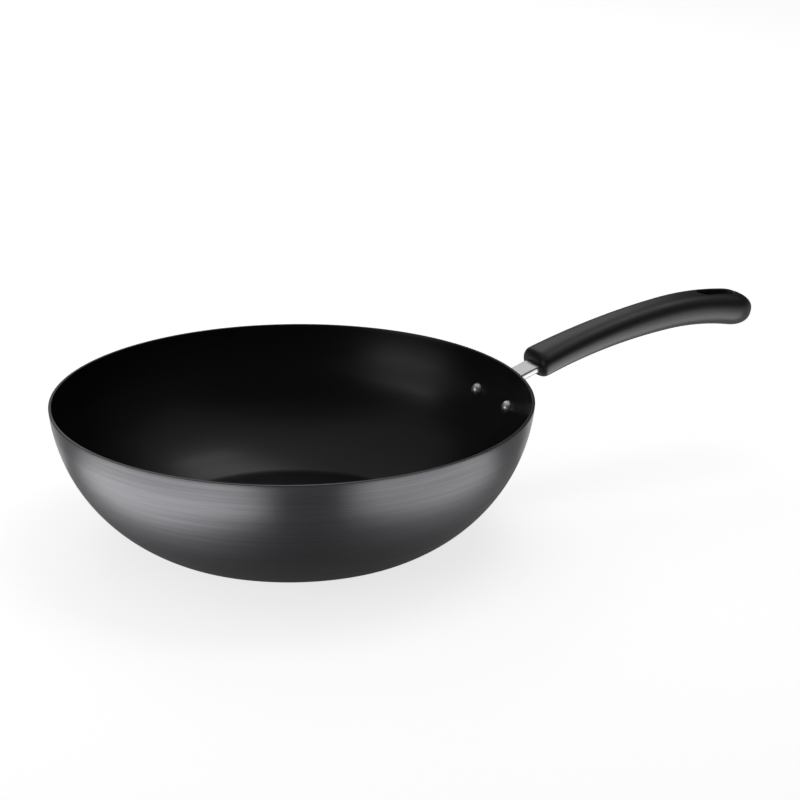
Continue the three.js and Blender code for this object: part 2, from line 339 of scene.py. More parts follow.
# %% [markdown]
# ### Brushed titanium
# The outside of the bowl is bare dark grey titanium, brushed round and round. Brushing spreads a highlight
# across the lines, so the shader is anisotropic. Its tangent runs round the bowl's axis, and a quarter turn
# lays the stretched highlight across the lines.

# %% Titanium finish
TITANIUM_TONES = ((0.083, 0.083, 0.088), (0.115, 0.115, 0.122))
TITANIUM_ROUGHNESS = (0.37, 0.47)
TITANIUM_WEAR = (-0.03, 0.03)
QUARTER_TURN = 0.25


def titanium_finish():
    finish, tree, shader = start_finish(
        "brushed_titanium", Metallic=1.0, Anisotropic=0.6, Anisotropic_Rotation=QUARTER_TURN
    )
    place = object_place(tree)
    round_way = add_node(tree, "ShaderNodeTangent", direction_type="RADIAL", axis="Z")
    tree.links.new(round_way.outputs[0], shader.inputs["Tangent"])
    lines = add_group(tree, BRUSH_LINES, Vector=round_the_axis(tree, place), Lines=560.0, Length=7.0)
    marks = add_group(tree, GRAIN_AND_MARKS, Vector=place, Marks=14.0)
    tone = tint(tree, lines.outputs["Lines"], *TITANIUM_TONES)
    tree.links.new(tone, shader.inputs["Base Color"])
    gloss = spread_range(tree, lines.outputs["Bands"], *TITANIUM_ROUGHNESS)
    worn = spread_range(tree, marks.outputs["Marks"], *TITANIUM_WEAR)
    tree.links.new(add_math(tree, "ADD", gloss, worn), shader.inputs["Roughness"])
    bump = add_bump(tree, lines.outputs["Lines"], strength=0.25, depth=0.02 * MM)
    tree.links.new(bump, shader.inputs["Normal"])
    return finish


TITANIUM = titanium_finish()
print(TITANIUM.name, len(TITANIUM.node_tree.nodes), "nodes")

# %% [markdown]
# ### Black coating
# The inside is sprayed with a semi-gloss black coat. It reflects like a plastic, not like a metal, and has
# a very fine unevenness and faint rings from the spinning bowl.

# %% Coating finish
COATING_TONES = ((0.004, 0.004, 0.004), (0.007, 0.007, 0.007))
COATING_ROUGHNESS = (0.26, 0.38)


def coating_finish():
    finish, tree, shader = start_finish("black_coating", IOR=1.5)
    place = object_place(tree)
    rings = add_group(tree, BRUSH_LINES, Vector=round_the_axis(tree, place), Lines=500.0, Length=5.0)
    coat = add_group(tree, GRAIN_AND_MARKS, Vector=place, Grain=1600.0, Marks=10.0)
    tone = tint(tree, coat.outputs["Marks"], *COATING_TONES)
    tree.links.new(tone, shader.inputs["Base Color"])
    gloss = spread_range(tree, rings.outputs["Bands"], *COATING_ROUGHNESS)
    tree.links.new(gloss, shader.inputs["Roughness"])
    bump = add_bump(tree, coat.outputs["Grain"], strength=0.12, depth=0.03 * MM)
    tree.links.new(bump, shader.inputs["Normal"])
    return finish


COATING = coating_finish()
print(COATING.name, len(COATING.node_tree.nodes), "nodes")

# %% [markdown]
# ### Bright metals
# The bracket is stainless sheet that was brushed along the neck. The rivet heads are tumbled to a satin
# shine, so they are lighter and have a fine grain but no lines. The screw and its washer share the
# stainless finish in a duller form.

# %% Stainless finishes
BAND_SHADE = 0.85
GLOSS_SWING = 0.08


def stainless_finish(name, light, rough, lines_across):
    finish, tree, shader = start_finish(name, Metallic=1.0, Anisotropic=0.3)
    along = add_node(
        tree, "ShaderNodeMapping", sockets={"Vector": object_place(tree), "Rotation": (0.0, GRIP_SLOPE, 0.0)}
    )
    apart = add_node(tree, "ShaderNodeSeparateXYZ", sockets={0: along.outputs[0]})
    across = add_math(tree, "ADD", apart.outputs["Y"], apart.outputs["Z"])
    laid = add_node(tree, "ShaderNodeCombineXYZ", sockets={"X": apart.outputs["X"], "Z": across})
    lines = add_group(tree, BRUSH_LINES, Vector=laid.outputs[0], Lines=lines_across, Length=60.0)
    dark = tuple(BAND_SHADE * part for part in light)
    tone = tint(tree, lines.outputs["Bands"], dark, light)
    tree.links.new(tone, shader.inputs["Base Color"])
    gloss = spread_range(tree, lines.outputs["Lines"], rough - GLOSS_SWING, rough + GLOSS_SWING)
    tree.links.new(gloss, shader.inputs["Roughness"])
    bump = add_bump(tree, lines.outputs["Lines"], strength=0.2, depth=0.01 * MM)
    tree.links.new(bump, shader.inputs["Normal"])
    return finish


STAINLESS = stainless_finish("brushed_stainless", light=(0.60, 0.60, 0.61), rough=0.30, lines_across=1500.0)
FASTENER = stainless_finish("dull_fastener", light=(0.45, 0.45, 0.46), rough=0.36, lines_across=2500.0)
print(STAINLESS.name, FASTENER.name)

# %% Rivet finish
RIVET_TONES = ((0.82, 0.82, 0.83), (0.92, 0.92, 0.92))
RIVET_ROUGHNESS = (0.26, 0.42)


def rivet_finish():
    finish, tree, shader = start_finish("polished_rivet", Metallic=1.0)
    marks = add_group(tree, GRAIN_AND_MARKS, Vector=object_place(tree), Grain=900.0, Marks=260.0)
    tone = tint(tree, marks.outputs["Marks"], *RIVET_TONES)
    tree.links.new(tone, shader.inputs["Base Color"])
    gloss = spread_range(tree, marks.outputs["Grain"], *RIVET_ROUGHNESS)
    tree.links.new(gloss, shader.inputs["Roughness"])
    bump = add_bump(tree, marks.outputs["Grain"], strength=0.08, depth=0.02 * MM)
    tree.links.new(bump, shader.inputs["Normal"])
    return finish


RIVET_METAL = rivet_finish()
print(RIVET_METAL.name, len(RIVET_METAL.node_tree.nodes), "nodes")

# %% [markdown]
# ### Phenolic
# The grip is moulded from black phenolic. Its skin is satin, with a fine grain from the mould and softer
# patches where hands polish it.

# %% Phenolic finish
PHENOLIC_TONES = ((0.007, 0.007, 0.007), (0.012, 0.012, 0.012))
PHENOLIC_ROUGHNESS = (0.34, 0.46)


def phenolic_finish():
    finish, tree, shader = start_finish("black_phenolic", IOR=1.55)
    skin = add_group(tree, GRAIN_AND_MARKS, Vector=object_place(tree), Grain=2200.0, Marks=30.0)
    tone = tint(tree, skin.outputs["Marks"], *PHENOLIC_TONES)
    tree.links.new(tone, shader.inputs["Base Color"])
    gloss = spread_range(tree, skin.outputs["Marks"], *PHENOLIC_ROUGHNESS)
    tree.links.new(gloss, shader.inputs["Roughness"])
    bump = add_bump(tree, skin.outputs["Grain"], strength=0.25, depth=0.03 * MM)
    tree.links.new(bump, shader.inputs["Normal"])
    return finish


PHENOLIC = phenolic_finish()
print(PHENOLIC.name, len(PHENOLIC.node_tree.nodes), "nodes")

# %% [markdown]
# ## The bowl
# The bowl is pressed from one sheet, so both of its faces share their centres of curvature. Its profile is
# a flat base, a short knee and one long arc up to the rim, then back down inside. It could be lathed from a
# drawn curve, but arcs swept about the true centres keep the wall exactly even.

# %% Where the side's arc has its centre
KNEE_CENTRE = Vector((BASE_RADIUS, 0, KNEE_RADIUS))
RIM_POINT = Vector((RIM_RADIUS, 0, BOWL_DEPTH))


def side_centre():
    """The centre of the long arc that passes through the rim and rolls into the knee."""
    to_rim = RIM_POINT - KNEE_CENTRE
    span = to_rim.length
    inner = SIDE_RADIUS - KNEE_RADIUS
    along = (inner**2 - SIDE_RADIUS**2 + span**2) / (2 * span)
    across = math.sqrt(inner**2 - along**2)
    direction = to_rim.normalized()
    upward = Vector((-direction.z, 0, direction.x))
    return KNEE_CENTRE + along * direction + across * upward


SIDE_CENTRE = side_centre()
to_knee = KNEE_CENTRE - SIDE_CENTRE
to_rim = RIM_POINT - SIDE_CENTRE
KNEE_LEAN = math.atan2(-to_knee.z, to_knee.x)
RIM_LEAN = math.atan2(-to_rim.z, to_rim.x)
KNEE_TURN = math.pi / 2 - KNEE_LEAN
SIDE_TURN = KNEE_LEAN - RIM_LEAN
print("knee", round(math.degrees(KNEE_TURN), 1), "side", round(math.degrees(SIDE_TURN), 1), "degrees")

# %% Bowl mesh
BOWL_STEPS = 192
SIDE_STEPS = 48
KNEE_STEPS = 8
RIM_ROUND = 0.4 * MM
RIM_STEPS = 4
LOOKS_UP = 0.5


def bowl_shape():
    shape = bmesh.new()
    tip = shape.verts.new((0, 0, 0))
    tip = line_to(shape, tip, BASE_RADIUS, 0)
    tip = arc_about(shape, tip, KNEE_CENTRE, KNEE_TURN, KNEE_STEPS)
    outward = Vector((math.cos(RIM_LEAN), 0, -math.sin(RIM_LEAN)))
    along_wall = Vector((math.sin(RIM_LEAN), 0, math.cos(RIM_LEAN)))
    short = RIM_ROUND / SIDE_RADIUS
    tip = arc_about(shape, tip, SIDE_CENTRE, SIDE_TURN - short, SIDE_STEPS)
    tip = arc_about(shape, tip, tip.co - RIM_ROUND * outward, math.pi / 2, RIM_STEPS)
    flat = tip.co - (WALL - 2 * RIM_ROUND) * outward
    tip = line_to(shape, tip, flat.x, flat.z)
    tip = arc_about(shape, tip, tip.co - RIM_ROUND * along_wall, math.pi / 2, RIM_STEPS)
    tip = arc_about(shape, tip, SIDE_CENTRE, short - SIDE_TURN, SIDE_STEPS)
    tip = arc_about(shape, tip, KNEE_CENTRE, -KNEE_TURN, KNEE_STEPS)
    line_to(shape, tip, 0, tip.co.z)
    turn_profile(shape, BOWL_STEPS)
    return shape


def coat_the_inside(shape):
    """Give the second finish to all faces that look inwards, and to the rim but for its outer round."""
    edge_radius = RIM_RADIUS - RIM_ROUND
    for face in shape.faces:
        middle = face.calc_center_median()
        inward = Vector((-middle.x, -middle.y, 0)).normalized()
        faces_in = face.normal.dot(inward) > 0 or face.normal.z > LOOKS_UP
        on_edge = middle.z > BOWL_DEPTH - RIM_ROUND and middle.xy.length > edge_radius
        face.material_index = 1 if faces_in and not on_edge else 0


bowl = bowl_shape()
coat_the_inside(bowl)
shell = make_piece("wok_shell", bowl, "wok_body", [TITANIUM, COATING])

# %% [markdown]
# ## The rivets
# Two solid rivets hold the bracket. Their domes show inside the bowl, and their flatter tails were formed
# on the outside. Each is one turned profile, spun in its own frame and then laid through the wall. The
# head's edge runs on as a short skirt, so that no gap shows under it on the curved wall.

# %% Rivet frames
RIVET_HEIGHT = BOWL_DEPTH - RIVET_DROP
RIVET_LEAN = math.asin((SIDE_CENTRE.z - RIVET_HEIGHT) / SIDE_RADIUS)
RIVET_RADIUS = SIDE_CENTRE.x + SIDE_RADIUS * math.cos(RIVET_LEAN)
RIVET_TURN = math.asin(RIVET_SPACING / 2 / RIVET_RADIUS)


def rivet_frame(side):
    """Origin on the outside of the wall, with Z pointing into the bowl."""
    turn = Matrix.Rotation(side * RIVET_TURN, 4, "Z")
    place = Matrix.Translation((RIVET_RADIUS, 0, RIVET_HEIGHT))
    lean = Matrix.Rotation(RIVET_LEAN - math.pi / 2, 4, "Y")
    return turn @ place @ lean


print("rivets turned", round(math.degrees(RIVET_TURN), 2), "degrees each way")

# %% Rivet meshes
HEAD_RADIUS = 4.9 * MM
HEAD_HEIGHT = 3.6 * MM
TAIL_RADIUS = 4.5 * MM
TAIL_HEIGHT = 2 * MM
SHANK_RADIUS = 2.5 * MM
SKIRT = 0.45 * MM
RIVET_STEPS = 48
DOME_STEPS = 12


def dome_sphere(radius, height):
    """The sphere's radius and half angle for a cap of this radius and height."""
    sphere = (radius**2 + height**2) / (2 * height)
    return sphere, math.atan2(radius, sphere - height)


def rivet_shape(frame_matrix):
    head_seat = WALL + SEAT_GAP
    tail_seat = -2 * SEAT_GAP - SHEET
    shape = bmesh.new()
    sphere, half_angle = dome_sphere(HEAD_RADIUS, HEAD_HEIGHT)
    tip = shape.verts.new((0, 0, head_seat + HEAD_HEIGHT))
    tip = arc_about(shape, tip, (0, 0, head_seat + HEAD_HEIGHT - sphere), -half_angle, DOME_STEPS)
    tip = line_to(shape, tip, HEAD_RADIUS, head_seat - SKIRT)
    tip = line_to(shape, tip, SHANK_RADIUS, head_seat - SKIRT)
    tip = line_to(shape, tip, SHANK_RADIUS, tail_seat)
    tip = line_to(shape, tip, TAIL_RADIUS, tail_seat)
    sphere, half_angle = dome_sphere(TAIL_RADIUS, TAIL_HEIGHT)
    arc_about(shape, tip, (0, 0, tail_seat - TAIL_HEIGHT + sphere), -half_angle, DOME_STEPS)
    turn_profile(shape, RIVET_STEPS)
    shape.transform(frame_matrix)
    return shape


for node, side in (("rivet_left", 1), ("rivet_right", -1)):
    make_piece(node + "_dome", rivet_shape(rivet_frame(side)), node, [RIVET_METAL])

# %% [markdown]
# ## The bracket
# The bracket is stamped from stainless sheet. Its foot is a plate that follows the bowl, and its neck is a
# channel, open below, that runs on into the grip. The foot starts as a grid that is laid on the bowl's
# wall, and solidify gives it the sheet's thickness. The neck is a closed section that is pulled out ring by
# ring, because its flanges get deeper towards the foot, which a plain extrusion couldn't do.

# %% Bracket sizes and the handle's frame
FOOT_HALF_WIDTH = 30.4 * MM
FOOT_HALF_HEIGHT = 13.5 * MM
FOOT_CORNER = 11 * MM
NECK_HALF_WIDTH = 8.5 * MM
NECK_TOP = 1 * MM
NECK_LOW = -3 * MM
NECK_BEND = 1.0 * MM
FLARE_START = 4 * MM
FLARE_LOW = -13 * MM
TANG_LENGTH = 46 * MM
GRIP_START = Vector((RIM_RADIUS + GRIP_REACH, 0, BOWL_DEPTH - GRIP_DROP))
HANDLE = Matrix.Translation(GRIP_START) @ Matrix.Rotation(-GRIP_SLOPE, 4, "Y")
print("handle starts at", [round(c, 4) for c in GRIP_START])

# %% Bracket foot
FOOT_ROWS = 6
FOOT_COLUMNS = 24
EDGE_ROUND = 0.35 * MM
EDGE_STEPS = 3
CORNER_ANGLE = math.radians(60)


def wall_x(y, z, gap):
    """How far out the wall lies, with a gap, at a place across the handle and a height."""
    drop = SIDE_CENTRE.z - z
    radius = SIDE_CENTRE.x + math.sqrt((SIDE_RADIUS + gap) ** 2 - drop**2)
    return math.sqrt(radius**2 - y**2)


def foot_shape():
    shape = bmesh.new()
    bmesh.ops.create_grid(shape, x_segments=FOOT_COLUMNS, y_segments=2 * FOOT_ROWS, size=1)
    straight = FOOT_HALF_HEIGHT - FOOT_CORNER
    for vert in shape.verts:
        across, row = vert.co.x, vert.co.y
        corner = math.sin(abs(row) * math.pi / 2)
        height = math.copysign(straight * abs(row) + FOOT_CORNER * corner, row)
        drawn_in = FOOT_CORNER * (1 - math.sqrt(1 - corner**2))
        y = across * (FOOT_HALF_WIDTH - drawn_in)
        z = RIVET_HEIGHT + height
        vert.co = Vector((wall_x(y, z, SEAT_GAP), y, z))
    bmesh.ops.recalc_face_normals(shape, faces=shape.faces)
    # Solidify thickens a sheet against its normals, so these have to look at the bowl.
    if shape.faces[0].normal.x > 0:
        bmesh.ops.reverse_faces(shape, faces=shape.faces)
    bmesh.ops.solidify(shape, geom=list(shape.faces), thickness=SHEET)
    bmesh.ops.recalc_face_normals(shape, faces=shape.faces)
    corners = [edge for edge in shape.edges if edge.calc_face_angle() > CORNER_ANGLE]
    bmesh.ops.bevel(
        shape, geom=corners, offset=EDGE_ROUND, offset_type="OFFSET",
        affect="EDGES", segments=EDGE_STEPS, profile=0.5, material=-1,
    )
    return shape


foot = foot_shape()
print("foot", len(foot.faces), "faces")

# %% Bracket neck
NECK_STATIONS = 60
BEND_STEPS = 5
TRIM_ROUNDS = 8
SECTION_SLACK = 0.01 * MM


def neck_start(y, z):
    """How far back along the neck the middle of the foot's sheet lies, found in a few rounds."""
    x = -GRIP_REACH
    for _ in range(TRIM_ROUNDS):
        place = HANDLE @ Vector((x, y, z))
        x += (wall_x(place.y, place.z, SEAT_GAP + SHEET / 2) - place.x) / math.cos(GRIP_SLOPE)
    return x


def neck_places(section, share):
    """One ring of the neck, at a share of the way from the foot to the tang's end.

    By the foot a flange's lower edge hangs deeper, on a curve that starts along the foot.
    """
    places = []
    for y, z in section:
        start = neck_start(y, z)
        x = start + (TANG_LENGTH - start) * share**2
        height = z
        if z < NECK_LOW + EDGE_ROUND + SECTION_SLACK and x < -FLARE_START:
            left = 1 - math.sqrt((x - start) / (-FLARE_START - start))
            deep = z + FLARE_LOW - NECK_LOW
            x += left**2 * (neck_start(y, deep) - start)
            height += left**2 * (deep - z)
        places.append(HANDLE @ Vector((x, y, height)))
    return places


def round_edge(shape, tip, outer, inner):
    """Take the section round a flange's lower edge, from its right side to its left one."""
    height = NECK_LOW + EDGE_ROUND
    tip = line_to(shape, tip, outer, height)
    tip = arc_about(shape, tip, (outer - EDGE_ROUND, 0, height), -math.pi / 2, EDGE_STEPS)
    tip = line_to(shape, tip, inner + EDGE_ROUND, NECK_LOW)
    return arc_about(shape, tip, (inner + EDGE_ROUND, 0, height), -math.pi / 2, EDGE_STEPS)


def neck_section(shape):
    """Draw the channel's closed section, clockwise from the left flange's outer side."""
    inner = NECK_HALF_WIDTH - SHEET
    bend_side = NECK_HALF_WIDTH - NECK_BEND
    bend_height = NECK_TOP - NECK_BEND
    tip = shape.verts.new((-NECK_HALF_WIDTH, 0, NECK_LOW + EDGE_ROUND))
    tip = line_to(shape, tip, -NECK_HALF_WIDTH, bend_height)
    tip = arc_about(shape, tip, (-bend_side, 0, bend_height), -math.pi / 2, BEND_STEPS)
    tip = line_to(shape, tip, bend_side, NECK_TOP)
    tip = arc_about(shape, tip, (bend_side, 0, bend_height), -math.pi / 2, BEND_STEPS)
    tip = round_edge(shape, tip, NECK_HALF_WIDTH, inner)
    tip = line_to(shape, tip, inner, NECK_TOP - SHEET)
    tip = line_to(shape, tip, -inner, NECK_TOP - SHEET)
    round_edge(shape, tip, -inner, -NECK_HALF_WIDTH)
    bmesh.ops.remove_doubles(shape, verts=shape.verts, dist=SECTION_SLACK)


def neck_shape():
    shape = bmesh.new()
    neck_section(shape)
    ring = list(shape.verts)
    section = [(vert.co.x, vert.co.z) for vert in ring]
    for vert, place in zip(ring, neck_places(section, 0)):
        vert.co = place
    shape.faces.new(ring)
    for station in range(1, NECK_STATIONS + 1):
        ring = pull_ring(shape, ring, neck_places(section, station / NECK_STATIONS))
    shape.faces.new(ring)
    bmesh.ops.recalc_face_normals(shape, faces=shape.faces)
    return shape


neck = neck_shape()
neck_mesh = bpy.data.meshes.new("neck_only")
neck.to_mesh(neck_mesh)
neck.free()
foot.from_mesh(neck_mesh)
bpy.data.meshes.remove(neck_mesh)
bracket = make_piece("bracket_sheet", foot, "handle_bracket", [STAINLESS])

# %% [markdown]
# ## The grip
# The grip is one moulding. Its spine leaves the neck straight and bends down in two arcs, and its section
# is a rounded rectangle that narrows in the middle for the hand. It is made by pulling one ring of edges
# along the spine, ring by ring. The hang slot and the screw's recess are then opened in the skin, with
# round lips, and a socket for the neck is sunk into the front end.

# %% Grip sizes
FRONT_ARC_RADIUS = 457 * MM
FRONT_ARC_LENGTH = 107 * MM
TAIL_ARC_RADIUS = 190 * MM
TAIL_ARC_LENGTH = 72 * MM
GRIP_LENGTH = FRONT_ARC_LENGTH + TAIL_ARC_LENGTH
GRIP_HEIGHTS = (17.4 * MM, 20.2 * MM, 25 * MM)
GRIP_WIDTHS = (32 * MM, 26.6 * MM, 32 * MM)
SQUARENESS = 2.6
FRONT_ROUND = 5 * MM
FRONT_LEAN = math.radians(14)
LEAN_REACH = 60 * MM
TAIL_ROUND = 20 * MM
RING_POINTS = 64
FRONT_RINGS = 8
BODY_RINGS = 70
TAIL_RINGS = 20


def along_grip(sizes, share):
    """A smooth size along the grip, through its values at the front, the middle and the tail."""
    front, middle, tail = sizes
    near_front = (1 - share) * (1 - 2 * share)
    near_middle = 4 * share * (1 - share)
    near_tail = share * (2 * share - 1)
    return front * near_front + middle * near_middle + tail * near_tail


def spine_frame(distance):
    """A frame on the spine, in the part's frame: X runs along the spine and Z is its upward normal."""
    front = min(distance, FRONT_ARC_LENGTH) / FRONT_ARC_RADIUS
    x = FRONT_ARC_RADIUS * math.sin(front)
    z = -FRONT_ARC_RADIUS * (1 - math.cos(front))
    turn = front + max(0.0, distance - FRONT_ARC_LENGTH) / TAIL_ARC_RADIUS
    x += TAIL_ARC_RADIUS * (math.sin(turn) - math.sin(front))
    z -= TAIL_ARC_RADIUS * (math.cos(front) - math.cos(turn))
    return HANDLE @ Matrix.Translation((x, 0, z)) @ Matrix.Rotation(turn, 4, "Y")


print("grip length", round(GRIP_LENGTH, 3))


# %% Grip rings
def rounded(value):
    """One coordinate of a circle's point, pushed out towards a rounded rectangle."""
    return math.copysign(abs(value) ** (2 / SQUARENESS), value)


def ring_places(distance, inset, scale):
    """The points of one ring of the grip's skin."""
    share = distance / GRIP_LENGTH
    half_width = (along_grip(GRIP_WIDTHS, share) / 2 - inset) * scale
    half_height = (along_grip(GRIP_HEIGHTS, share) / 2 - inset) * scale
    lean = math.tan(FRONT_LEAN) * max(0.0, 1 - distance / LEAN_REACH)
    place = spine_frame(distance)
    points = []
    for index in range(RING_POINTS):
        angle = 2 * math.pi * index / RING_POINTS
        up = half_height * rounded(math.sin(angle))
        points.append(place @ Vector((up * lean, half_width * rounded(math.cos(angle)), up)))
    return points


def ring_table():
    """Distance, inset and scale of each ring, from the front end to just short of the tail's tip."""
    rows = []
    for index in range(FRONT_RINGS):
        angle = math.pi / 2 * index / FRONT_RINGS
        rows.append((FRONT_ROUND * (1 - math.cos(angle)), FRONT_ROUND * (1 - math.sin(angle)), 1))
    straight = GRIP_LENGTH - FRONT_ROUND - TAIL_ROUND
    for index in range(BODY_RINGS + 1):
        rows.append((FRONT_ROUND + straight * index / BODY_RINGS, 0, 1))
    for index in range(1, TAIL_RINGS):
        angle = math.pi / 2 * index / TAIL_RINGS
        rows.append((GRIP_LENGTH - TAIL_ROUND * (1 - math.sin(angle)), 0, math.cos(angle)))
    return rows


print("rings", len(ring_table()))


# %% Grip skin
def grip_skin(shape):
    """Pull a ring along the spine and close it at the tail's tip, and return all rings."""
    table = ring_table()
    ring = bmesh.ops.create_circle(shape, segments=RING_POINTS, radius=1)["verts"]
    for vert, place in zip(ring, ring_places(*table[0])):
        vert.co = place
    rings = [ring]
    for row in table[1:]:
        rings.append(pull_ring(shape, rings[-1], ring_places(*row)))
    tip = pull_ring(shape, rings[-1], [spine_frame(GRIP_LENGTH).translation] * RING_POINTS)
    bmesh.ops.pointmerge(shape, verts=tip, merge_co=tip[0].co)
    return rings


moulding = bmesh.new()
skin_rings = grip_skin(moulding)
closed_skin = BVHTree.FromBMesh(moulding)
print("grip skin", len(moulding.faces), "faces")

# %% Helpers for openings
TOP_COLUMN = RING_POINTS // 4
LOW_COLUMN = 3 * TOP_COLUMN
LIP_STEPS = 5
RAY_START = 50 * MM


def oval_point(direction, half_run, radius):
    """Where a ray from the middle of an oval slot meets its edge."""
    x, y = direction
    if abs(y) * half_run >= abs(x) * radius:
        return x / abs(y) * radius, math.copysign(radius, y)
    reach = math.hypot(x, y)
    x, y = x / reach, y / reach
    middle = math.copysign(half_run, x)
    along = x * middle
    out = along + math.sqrt(max(0.0, along**2 - half_run**2 + radius**2))
    return x * out, y * out


def take_block(shape, rings, distance, reach, column, half_columns):
    """Take a block of faces out of the skin and return the vertices round it."""
    distances = [row[0] for row in ring_table()]
    first = sum(d < distance - reach for d in distances) - 1
    last = sum(d < distance + reach for d in distances)
    low, high = column - half_columns, column + half_columns
    block = {rings[i][j] for i in range(first, last + 1) for j in range(low, high + 1)}
    gone = [face for face in shape.faces if all(vert in block for vert in face.verts)]
    edge = [rings[first][j] for j in range(low, high)]
    edge += [rings[i][high] for i in range(first, last)]
    edge += [rings[last][j] for j in range(high, low, -1)]
    edge += [rings[i][low] for i in range(last, first, -1)]
    bmesh.ops.delete(shape, geom=gone, context="FACES")
    return edge


def round_lip(shape, edge, place, up, half_run, radius, lip):
    """Lead the edge of a block over a round lip into an oval hole, and return the hole's ring."""
    into = place.inverted()
    flat = [(into @ vert.co).xy for vert in edge]
    axis = (place.to_3x3() @ Vector((0, 0, up))).normalized()
    for step in range(LIP_STEPS + 1):
        angle = math.pi / 2 * step / LIP_STEPS
        out = lip * (1 - math.sin(angle))
        depth = lip * (1 - math.cos(angle))
        places = []
        for direction in flat:
            x, y = oval_point(direction, half_run, radius + out)
            outside = place @ Vector((x, y, up * RAY_START))
            hit = closed_skin.ray_cast(outside, -axis)[0]
            places.append(hit - axis * depth)
        edge = pull_ring(shape, edge, places)
    return edge


print("columns", TOP_COLUMN, "above and", LOW_COLUMN, "below")

# %% Hang slot
HANG_FROM_TAIL = 30 * MM
HANG_HALF_RUN = 8.5 * MM
HANG_RADIUS = 6 * MM
HANG_LIP = 1.6 * MM
HANG_MARGIN = 3.5 * MM
HANG_HALF_COLUMNS = 5


def open_hang_slot(shape, rings):
    """Open the slot above and below, and join the two holes by its wall."""
    distance = GRIP_LENGTH - HANG_FROM_TAIL
    place = spine_frame(distance)
    reach = HANG_HALF_RUN + HANG_RADIUS + HANG_MARGIN
    holes = []
    for column, up in ((TOP_COLUMN, 1), (LOW_COLUMN, -1)):
        edge = take_block(shape, rings, distance, reach, column, HANG_HALF_COLUMNS)
        holes.append(round_lip(shape, edge, place, up, HANG_HALF_RUN, HANG_RADIUS, HANG_LIP))
    edges = [edge for hole in holes for edge in ring_edges(shape, hole)]
    bmesh.ops.bridge_loops(shape, edges=edges)


open_hang_slot(moulding, skin_rings)
print("with the slot", len(moulding.faces), "faces")

# %% Recess for the screw
SCREW_FROM_FRONT = 26 * MM
SCREW_FRAME = HANDLE @ Matrix.Translation((SCREW_FROM_FRONT, 0, 0))
RECESS_RADIUS = 4.2 * MM
RECESS_LIP = 0.5 * MM
RECESS_TOP = -5.9 * MM
RECESS_MARGIN = 2.6 * MM
RECESS_HALF_COLUMNS = 4


def open_recess(shape, rings):
    """Open a round hole below and close it with a flat seat."""
    reach = RECESS_RADIUS + RECESS_MARGIN
    edge = take_block(shape, rings, SCREW_FROM_FRONT, reach, LOW_COLUMN, RECESS_HALF_COLUMNS)
    hole = round_lip(shape, edge, SCREW_FRAME, -1, 0, RECESS_RADIUS, RECESS_LIP)
    into = SCREW_FRAME.inverted()
    places = []
    for vert in hole:
        x, y = (into @ vert.co).xy
        places.append(SCREW_FRAME @ Vector((x, y, RECESS_TOP)))
    shape.faces.new(pull_ring(shape, hole, places))


open_recess(moulding, skin_rings)
print("with the recess", len(moulding.faces), "faces")

# %% Socket for the neck
SOCKET_HALF_WIDTH = 8.8 * MM
SOCKET_LOW = -3.3 * MM
SOCKET_TOP = 1.3 * MM
SOCKET_DEPTH = 40 * MM
SOCKET_ROUNDING = 0.25


def socket_places(distance):
    """A ring of points on the socket's edge, at a distance from the front end."""
    middle = (SOCKET_TOP + SOCKET_LOW) / 2
    half_height = (SOCKET_TOP - SOCKET_LOW) / 2
    lean = math.tan(FRONT_LEAN)
    points = []
    for index in range(RING_POINTS):
        angle = 2 * math.pi * index / RING_POINTS
        side = math.copysign(abs(math.cos(angle)) ** SOCKET_ROUNDING, math.cos(angle))
        rise = math.copysign(abs(math.sin(angle)) ** SOCKET_ROUNDING, math.sin(angle))
        up = middle + half_height * rise
        points.append(HANDLE @ Vector((distance + up * lean, SOCKET_HALF_WIDTH * side, up)))
    return points


mouth = pull_ring(moulding, skin_rings[0], socket_places(0))
socket_end = pull_ring(moulding, mouth, socket_places(SOCKET_DEPTH))
moulding.faces.new(socket_end)
bmesh.ops.recalc_face_normals(moulding, faces=moulding.faces)
grip = make_piece("grip_moulding", moulding, "handle_grip", [PHENOLIC], crease=50)

# %% [markdown]
# ## The screw and its washer
# A pan-head screw with a cross recess holds the grip from below, on a split spring washer. They sit in the
# recess, so they show only from underneath.

# %% Screw and washer sizes
SCREW_RADIUS = 2 * MM
SCREW_HEAD_RADIUS = 3.7 * MM
SCREW_HEAD_HEIGHT = 2.2 * MM
WASHER_RADIUS = 3.9 * MM
WASHER_THICKNESS = 0.8 * MM
WASHER_SPLIT = math.radians(14)
WASHER_TOP = RECESS_TOP - SEAT_GAP
SCREW_HEAD_TOP = WASHER_TOP - WASHER_THICKNESS - SEAT_GAP
CROSS_HALF_LENGTH = 2.1 * MM
CROSS_HALF_WIDTH = 0.5 * MM
CROSS_DEPTH = 1.1 * MM
CUT_SLACK = 0.002 * MM
DOME_SLACK = 0.01 * MM
SCREW_STEPS = 40
print("screw head starts", round(-SCREW_HEAD_TOP, 4), "m below the handle's line")


# %% Screw mesh
def dome_faces(shape):
    """The faces of the head's low dome, which looks down out of the recess."""
    edge = SCREW_HEAD_TOP - SCREW_HEAD_HEIGHT / 2
    return [face for face in shape.faces if max(vert.co.z for vert in face.verts) < edge + DOME_SLACK]


